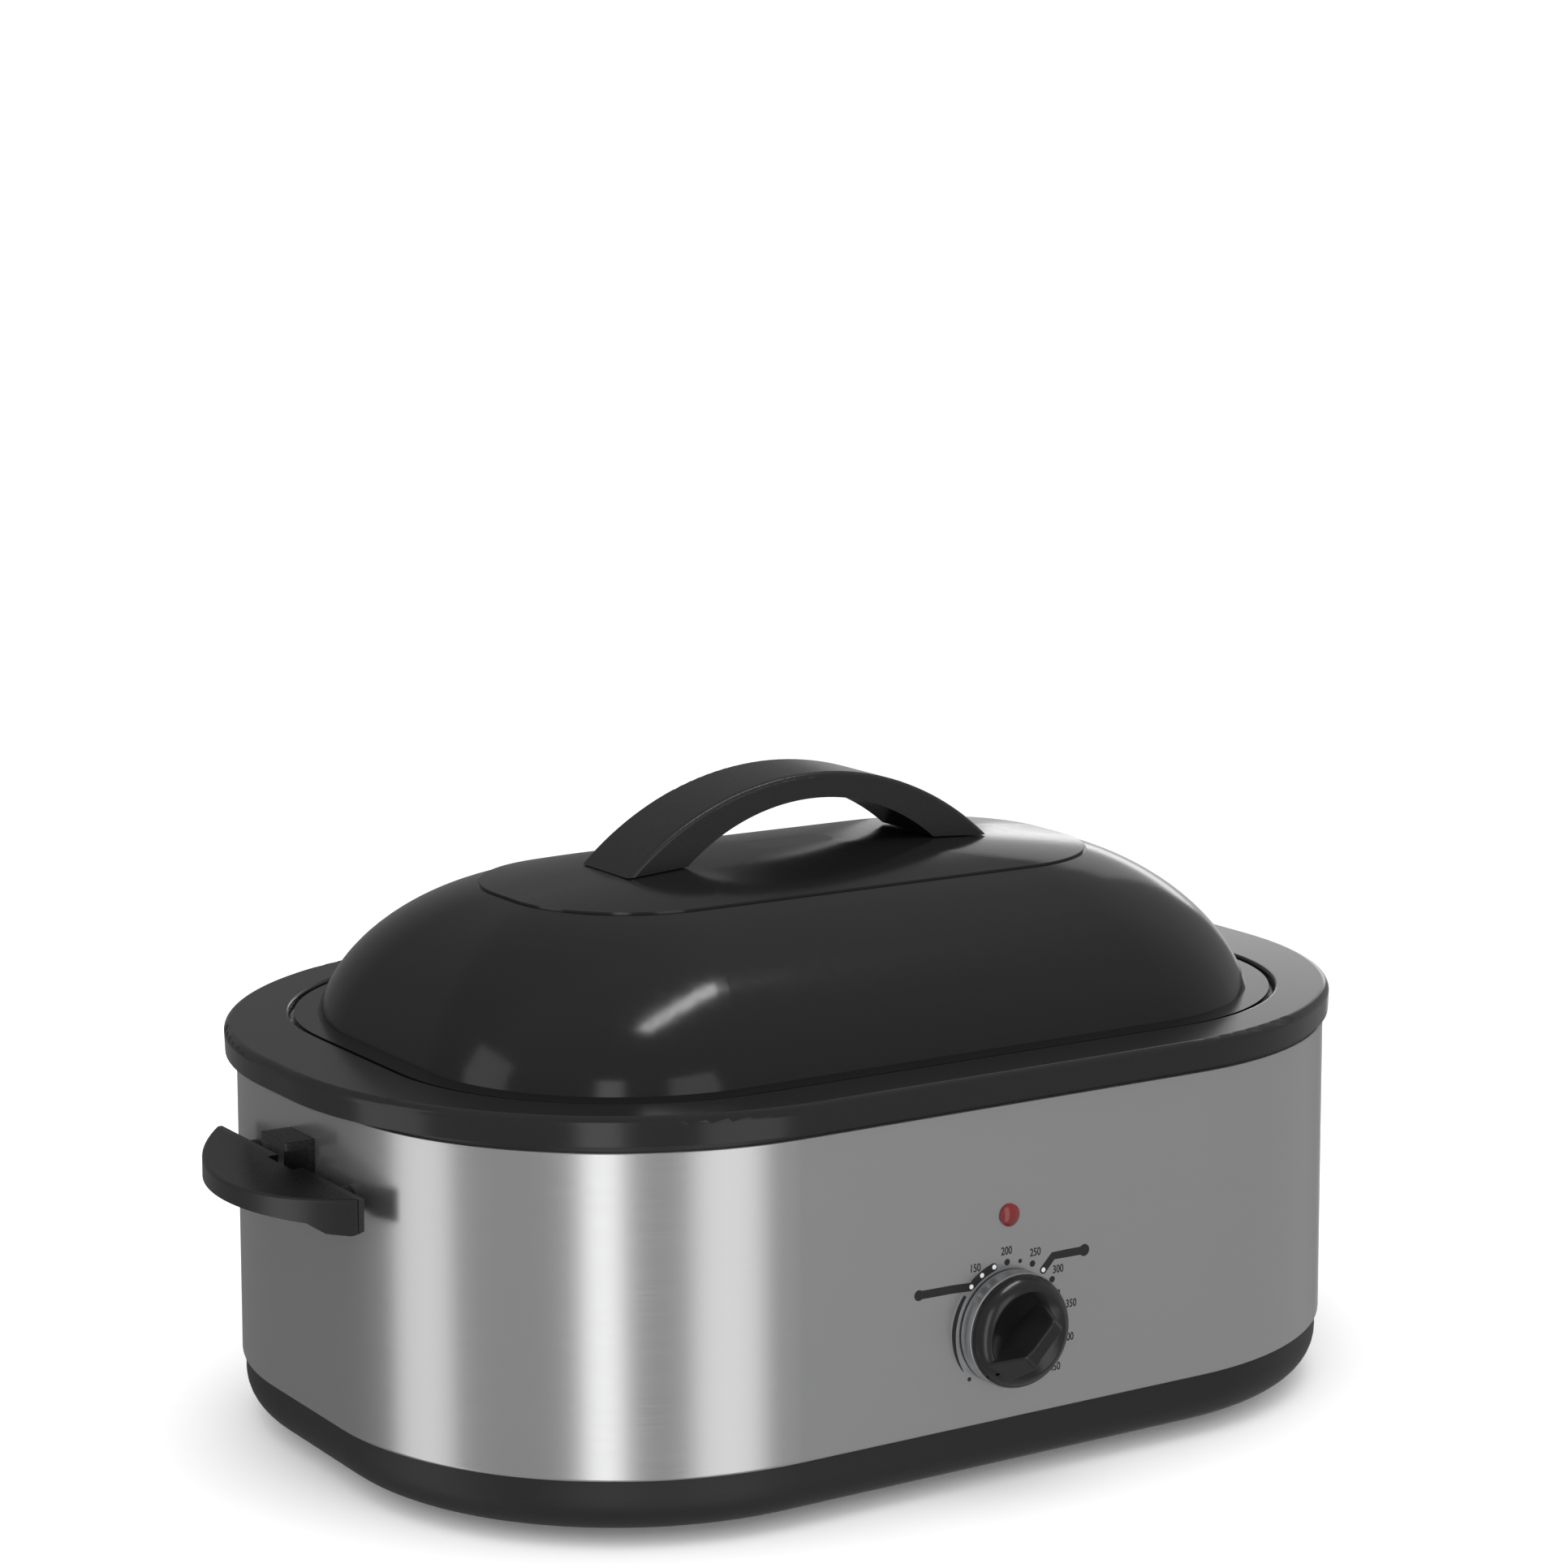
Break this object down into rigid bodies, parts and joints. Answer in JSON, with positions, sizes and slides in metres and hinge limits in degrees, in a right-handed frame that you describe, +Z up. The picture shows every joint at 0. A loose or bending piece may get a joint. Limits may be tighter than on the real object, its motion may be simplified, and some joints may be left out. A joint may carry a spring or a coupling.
{
  "type": "electric roaster oven",
  "caption": "Oval countertop electric roaster: steel-wrapped heated base with dial, lift-out roasting pan, wire lifting rack and domed lid with an arched handle.",
  "frame": {"origin": "the middle of the standing plane, under the middle of the oval casing", "axes": "+X along the length, to the right of someone who faces the dial; +Y towards the cord inlet at the back; +Z up"},
  "size_m": [0.575, 0.3894, 0.2921],
  "materials": {
    "brushed_steel": "vertical fine grain, satin",
    "band_steel": "bright satin",
    "liner_enamel": "satin gloss enamel",
    "pan_enamel": "satin gloss enamel",
    "lid_enamel": "satin gloss enamel",
    "trim_paint": "satin",
    "tray_plastic": "fine matte",
    "handle_plastic": "fine satin",
    "knob_plastic": "gloss",
    "ring_silver": "satin silver",
    "lens_red": "clear gloss",
    "foot_rubber": "matte",
    "rack_chrome": "bright plated",
    "screw_steel": "zinc plated",
    "shield_steel": "galvanised",
    "blanket_fibre": "matte fibre",
    "cord_braid": "woven glass braid",
    "phenolic": "matte",
    "terminal_plastic": "matte",
    "gland_plastic": "matte"
  },
  "bodies": {
    "base": {"base_tray": "tray_plastic", "feet": "foot_rubber", "base_screws": "screw_steel", "heat_shield": "shield_steel", "tie_stud": "screw_steel", "tie_nut": "screw_steel", "steel_wrap": "brushed_steel", "rim_trim": "trim_paint", "well_liner": "liner_enamel", "heating_cord": "cord_braid", "insulation_blanket": "blanket_fibre", "thermostat_body": "phenolic", "indicator_lens": "lens_red", "indicator_lamp": "phenolic", "cord_gland": "gland_plastic", "terminal_block": "terminal_plastic", "side_handle_right": "handle_plastic", "side_handle_left": "handle_plastic", "lid_hook_right": "handle_plastic", "lid_hook_left": "handle_plastic", "handle_screws": "screw_steel", "hook_screws": "screw_steel"},
    "knob": {"knob": "knob_plastic", "knob_ring": "ring_silver", "thermostat_shaft": "screw_steel"},
    "pan": {"roasting_pan": "pan_enamel"},
    "lid": {"lid_shell": "lid_enamel", "lid_rim_band": "band_steel", "lid_handle": "handle_plastic", "lid_handle_screws": "screw_steel"},
    "rack": {"rack_frame": "rack_chrome", "rack_long_wires": "rack_chrome", "rack_cross_wires": "rack_chrome"},
    "rack_bail_right": {"rack_handle_right": "rack_chrome"},
    "rack_bail_left": {"rack_handle_left": "rack_chrome"}
  },
  "joints": [
    {"name": "knob_turn", "type": "hinge", "parent": "base", "child": "knob", "pos_m": [0, -0.178, 0.0717], "axis": [0, -1, 0], "range_deg": [-270, 0]},
    {"name": "pan_lift", "type": "slide", "parent": "base", "child": "pan", "axis": [0, 0, 1], "range_m": [0, 0.1928]},
    {"name": "lid_lift", "type": "slide", "parent": "pan", "child": "lid", "axis": [0, 0, 1], "range_m": [0, 0.1487]},
    {"name": "rack_lift", "type": "slide", "parent": "pan", "child": "rack", "axis": [0, 0, 1], "range_m": [0, 0.2028]},
    {"name": "rack_bail_right_turn", "type": "hinge", "parent": "rack", "child": "rack_bail_right", "pos_m": [0.176, 0, 0.05295], "axis": [0, -1, 0], "range_deg": [-95, 0]},
    {"name": "rack_bail_left_turn", "type": "hinge", "parent": "rack", "child": "rack_bail_left", "pos_m": [-0.176, 0, 0.05295], "axis": [0, 1, 0], "range_deg": [-95, 0]}
  ],
  "couplings": [
    {"joint": "rack_lift", "follows": "lid_lift", "ratio": 1.3635}
  ]
}
